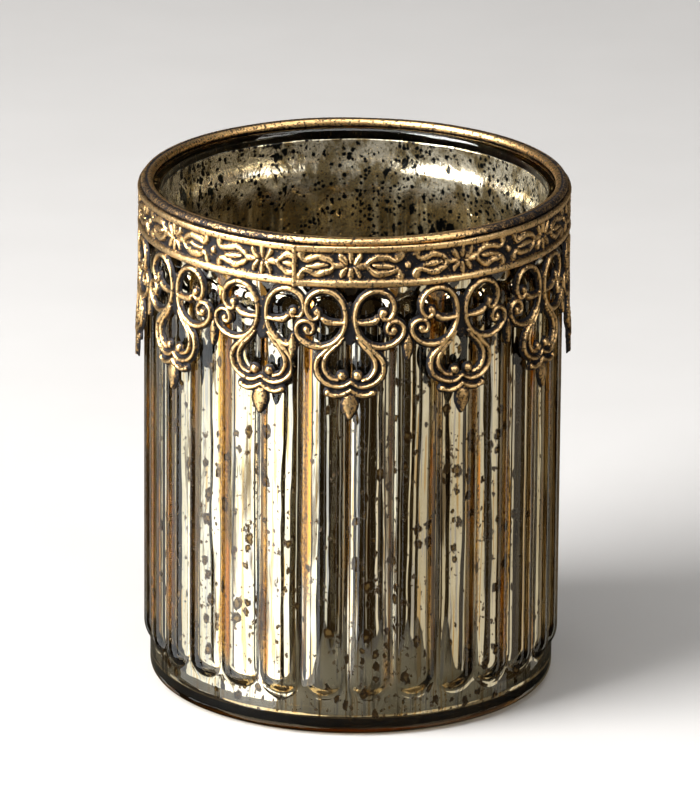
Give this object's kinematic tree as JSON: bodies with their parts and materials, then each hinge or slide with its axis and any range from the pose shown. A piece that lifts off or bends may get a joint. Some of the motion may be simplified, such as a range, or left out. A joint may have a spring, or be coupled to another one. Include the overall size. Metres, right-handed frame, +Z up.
{
  "type": "tealight holder",
  "caption": "Cylindrical ribbed silvered-glass tealight holder with a rolled brass rim and a stamped frieze with hanging scroll pendants.",
  "frame": {"origin": "centre of the flat base, on the table", "axes": "+Z up along the glass's axis; -Y is the front, where the strip's lap shows a little left of centre"},
  "size_m": [0.0847, 0.0847, 0.1],
  "materials": {
    "ribbed_glass": "clear glass with a warm amber cast, gloss",
    "silvering": "crackled antique silvering with dark specks and amber runs",
    "aged_brass_rim": "aged brass, rubbed bright on top with a black patina in the hollows",
    "aged_brass_strip": "stamped brass, blackened ground with rubbed gold ridges"
  },
  "bodies": {
    "root": {"glass_vessel": "ribbed_glass", "silver_lining": "silvering", "rim_ring": "aged_brass_rim", "frieze_band": "aged_brass_strip", "pendant_01": "aged_brass_strip", "pendant_02": "aged_brass_strip", "pendant_03": "aged_brass_strip", "pendant_04": "aged_brass_strip", "pendant_05": "aged_brass_strip", "pendant_06": "aged_brass_strip", "pendant_07": "aged_brass_strip", "pendant_08": "aged_brass_strip", "pendant_09": "aged_brass_strip", "pendant_10": "aged_brass_strip", "pendant_11": "aged_brass_strip", "pendant_12": "aged_brass_strip"}
  },
  "joints": []
}
